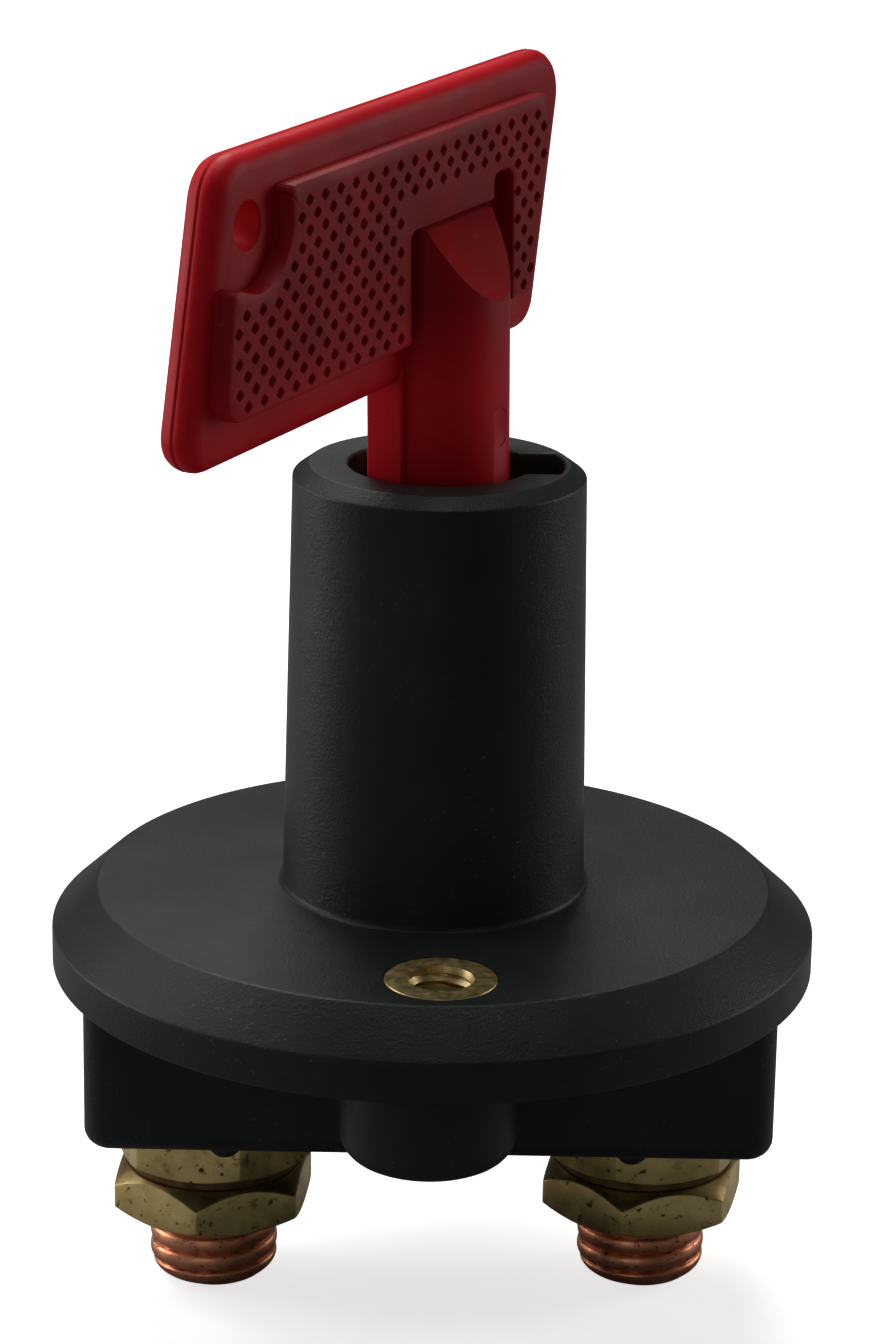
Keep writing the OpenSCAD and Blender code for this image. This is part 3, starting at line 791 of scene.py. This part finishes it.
def inside_by(outline, x, z):
    """Distance from a point to the outline, negative outside it."""
    point = Vector((x, z))
    best = 1e9
    within = False
    for i in range(len(outline)):
        a = Vector(outline[i - 1])
        b = Vector(outline[i])
        along = max(0, min(1, (point - a).dot(b - a) / (b - a).length_squared))
        best = min(best, (a + (b - a) * along - point).length)
        if (a.y > z) != (b.y > z) and x < a.x + (z - a.y) / (b.y - a.y) * (b.x - a.x):
            within = not within
    return best if within else -best


def dimple_centres(outline):
    """Staggered rows of dimples that keep clear of the edge and the smooth area."""
    row_gap = 1.2525
    column_gap = 2.53
    lowest_row = 13.87
    clear = 0.7
    centres = []
    for row in range(13):
        z = lowest_row + row_gap * row
        shift = column_gap / 2 if row % 2 else 0
        for column in range(-13, 12):
            x = -10.3 + column_gap * column + shift
            smooth = -9.2 < x < 11 and z < 25.9
            if not smooth and inside_by(outline, x, z) > clear:
                centres.append((x, z))
    return centres


def diamond(centre, half_w, half_h, depth):
    """A diamond with rounded sides, as eight points."""
    fullness = 0.82
    points = []
    for k in range(8):
        angle = TURN * k / 8
        reach = fullness if k % 2 else 1
        points.append(Vector((centre[0] + half_w * reach * math.cos(angle), depth,
                              centre[1] + half_h * reach * math.sin(angle))))
    return points


def key_grip():
    """The raised grip: a rounded edge, a flat face and a field of diamond dimples."""
    mouth = (0.66, 0.56)
    floor = (0.36, 0.30)
    depth = 0.4
    outline = grip_outline()
    round_off = [(0, 0.6), (0, GRIP_FRONT + 0.3), (0.09, GRIP_FRONT + 0.09), (0.3, GRIP_FRONT)]
    shell = Shell()
    rings = [stand_up(inset(outline, d), y) for d, y in round_off]
    count = len(outline)
    shell.loft(rings)
    shell.faces.pop()
    face_edge = inset(outline, round_off[-1][0])
    flat = [Vector(p) for p in face_edge]
    loops = [list(range(count))]
    centres = dimple_centres(outline)
    for centre in centres:
        start = len(flat)
        flat.extend(Vector((p.x, p.z)) for p in diamond(centre, *mouth, 0))
        loops.append(list(range(start, start + 8)))
    points, _, faces, _, _, face_sources = delaunay_2d_cdt(flat, [], loops, 1, 1e-5)
    kept = [face for face, source in zip(faces, face_sources) if list(source) == [0]]
    shell.add([Vector((p.x, GRIP_FRONT, p.y)) for p in points], kept)
    for centre in centres:
        pit = diamond(centre, *mouth, GRIP_FRONT) + diamond(centre, *floor, GRIP_FRONT + depth)
        walls = [[k, (k + 1) % 8, (k + 1) % 8 + 8, k + 8] for k in range(8)]
        shell.add(pit, walls + [list(range(8, 16))])
    piece = shell.make_object("grip", 25)
    work = bmesh.new()
    work.from_mesh(piece.data)
    bmesh.ops.remove_doubles(work, verts=work.verts, dist=0.002 * MM)
    work.to_mesh(piece.data)
    work.free()
    clean_mesh(piece.data, 25)
    return piece


def key_shank():
    """The half-round front of the shank, cut off by a slope under the grip."""
    steps = 48
    fall = (SLOPE_TOP - SLOPE_LOW) / (SHANK_R + GRIP_FRONT)
    foot = Vector((0, 1.2, 0))
    low = []
    high = []
    for k in range(steps + 1):
        angle = math.pi + math.pi * k / steps
        x = SHANK_R * math.cos(angle)
        y = SHANK_R * math.sin(angle)
        top = min(SLOPE_TOP, SLOPE_LOW + fall * (y + SHANK_R))
        low.append(Vector((x, y, SHANK_TIP)))
        high.append(Vector((x, y, top)))
    for ring, z in ((low, SHANK_TIP), (high, SLOPE_TOP)):
        ring.append(Vector((SHANK_R, foot.y, z)))
        ring.append(Vector((-SHANK_R, foot.y, z)))
    shell = Shell()
    shell.loft([low, high])
    piece = shell.make_object("shank", 25)
    mark = lathe([(1.75, 0), (1.75, 3)], 40)
    mark.moved(Matrix.Translation((-0.3, -SHANK_R + 0.14, 4.1)) @ Matrix.Rotation(math.pi / 2, 4, "X"))
    combine(piece, [mark.make_object("mark")], "DIFFERENCE")
    return bevel(piece, 0.25, 2, 30)


def key_bar():
    """The flat bar behind the shank, from the plate down into the neck."""
    middle = (PLATE_FRONT + PLATE_BACK) / 2
    half_t = (PLATE_BACK - PLATE_FRONT) / 2
    outline = rounded_rect(BAR_HALF, half_t, 0.25)
    shell = Shell()
    shell.loft([[Vector((x, y + middle, z)) for x, y in outline] for z in (SHANK_TIP, PLATE_LOW + 1.5)])
    return shell.make_object("bar")


def key_lug():
    """The bayonet lug that passes the slot when the switch is off."""
    outline = rounded([(3, -3.2, 0), (10.55, -3.2, 0.6), (10.55, 3.2, 0.6), (3, 3.2, 0)])
    shell = Shell()
    shell.loft([at_height(outline, z) for z in (-8.5, -5)])
    shell.moved(Matrix.Rotation(-KEY_TURN, 4, "Z"))
    return bevel(shell.make_object("lug"), 0.3)


def join(first, others):
    """Puts the other objects' meshes into the first one's."""
    work = bmesh.new()
    for piece in [first, *others]:
        work.from_mesh(piece.data)
    work.to_mesh(first.data)
    work.free()
    for piece in others:
        bpy.data.objects.remove(piece)
    return first


def make_key():
    piece = join(key_plate(), [key_grip(), key_shank(), key_bar(), key_lug()])
    place = key_matrix()
    place.translation *= MM
    piece.data.transform(place)
    piece.data.update()
    dress(piece, RED, "key", ["key"])


# ---------- parts kept from the CAD model ----------

CAD_MATERIALS = {
    "base_plate": BLACK,
    "base_gasket": RUBBER,
    "base_screws": BLACKENED,
    "nut_washers": WASHER_SHADE_BRASS,
    "stud_contacts": SILVER,
    "stud_seals": RUBBER,
    "retaining_ring": SPRING,
    "spring_seat": ZINC,
    "return_spring": SPRING,
    "rotor": ACETAL,
    "rotor_seal": RUBBER,
    "plunger": ACETAL,
    "contact_bridge": BAR_COPPER,
    "bridge_contacts": SILVER,
    "bridge_clip": SPRING,
    "contact_spring": SPRING,
}


def dress_cad_parts():
    for name, material in CAD_MATERIALS.items():
        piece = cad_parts[name]
        piece.data.materials.clear()
        piece.data.materials.append(material)


# ---------- camera, light and floor ----------

def make_camera():
    azimuth = math.radians(-1.906)
    elevation = math.radians(17.42)
    roll = math.radians(0.936)
    distance = 361.2 * MM
    aim = Vector((0, 0, 19.93 * MM))
    away = Vector((math.sin(azimuth) * math.cos(elevation),
                   -math.cos(azimuth) * math.cos(elevation),
                   math.sin(elevation)))
    data = bpy.data.cameras.new("camera")
    data.sensor_width = 36
    data.lens = 106.77
    data.clip_start = 0.01
    camera = bpy.data.objects.new("camera", data)
    camera.location = aim + away * distance
    camera.rotation_mode = "QUATERNION"
    camera.rotation_quaternion = away.to_track_quat("Z", "Y") @ Quaternion((0, 0, 1), roll)
    bpy.context.scene.collection.objects.link(camera)
    bpy.context.scene.camera = camera


def soft_light(name, location, aim, width, height, power):
    data = bpy.data.lights.new(name, "AREA")
    data.shape = "RECTANGLE"
    data.size = width
    data.size_y = height
    data.energy = power
    lamp = bpy.data.objects.new(name, data)
    lamp.location = location
    lamp.rotation_mode = "QUATERNION"
    lamp.rotation_quaternion = (Vector(location) - Vector(aim)).to_track_quat("Z", "Y")
    bpy.context.scene.collection.objects.link(lamp)


def make_lights():
    bpy.context.scene.view_settings.view_transform = "Standard"
    middle = (0, 0, 0.02)
    soft_light("back_light", (-0.05, 0.45, 0.65), middle, 0.35, 0.35, 3.6)
    soft_light("top_light", (0, 0.05, 0.8), middle, 0.3, 0.3, 1.4)
    soft_light("high_left_light", (-0.5, 0.25, 0.6), middle, 0.25, 0.25, 1.4)
    soft_light("left_light", (-0.7, 0.2, 0.15), middle, 0.35, 0.4, 2.2)
    soft_light("right_light", (0.75, 0.25, 0.2), middle, 0.35, 0.4, 1.5)
    soft_light("front_light", (-0.35, -0.8, 0.15), middle, 0.5, 0.5, 0.45)
    world = bpy.data.worlds.new("studio")
    bpy.context.scene.world = world
    world.use_nodes = True
    nodes = world.node_tree.nodes
    links = world.node_tree.links
    seen = nodes.new("ShaderNodeBackground")
    seen.inputs["Color"].default_value = (1, 1, 1, 1)
    seen.inputs["Strength"].default_value = 1.0
    felt = nodes["Background"]
    felt.inputs["Color"].default_value = (0.95, 0.97, 1, 1)
    felt.inputs["Strength"].default_value = 0.07
    path = nodes.new("ShaderNodeLightPath")
    choose = nodes.new("ShaderNodeMixShader")
    links.new(path.outputs["Is Camera Ray"], choose.inputs["Fac"])
    links.new(felt.outputs["Background"], choose.inputs[1])
    links.new(seen.outputs["Background"], choose.inputs[2])
    links.new(choose.outputs["Shader"], nodes["World Output"].inputs["Surface"])


def make_floor():
    """A wide pale floor with a very slight unevenness in its tone."""
    half = 3
    level = STUD_END * MM - 0.0001
    mesh = bpy.data.meshes.new("floor")
    mesh.from_pydata([(-half, -half, level), (half, -half, level), (half, half, level),
                      (-half, half, level)], [], [[0, 1, 2, 3]])
    floor = bpy.data.objects.new("floor", mesh)
    bpy.context.scene.collection.objects.link(floor)
    m = Nodes("pale_floor")
    tone = m.mix(m.ramp(m.noise(60), 0.3, 0.7), (0.84, 0.84, 0.83), (0.88, 0.88, 0.87))
    seen = m.add("ShaderNodeLightPath").outputs["Is Camera Ray"]
    tone = m.mix(seen, (0.24, 0.24, 0.24), tone)
    m.link(m.ramp(seen, 0, 1, 0, 0.72), m.shader.inputs["Emission Strength"])
    rub = m.ramp(m.noise(40), 0.3, 0.7, 0.75, 0.85)
    mesh.materials.append(m.finish(tone, rub, m.bump(m.noise(8), 0.01), Emission_Color=(1, 1, 1, 1)))


# ---------- the whole scene ----------

make_housing()
make_inserts()
make_stud("left_stud", -1)
make_stud("right_stud", 1)
make_nuts()
make_key()
dress_cad_parts()
make_floor()
make_lights()
make_camera()
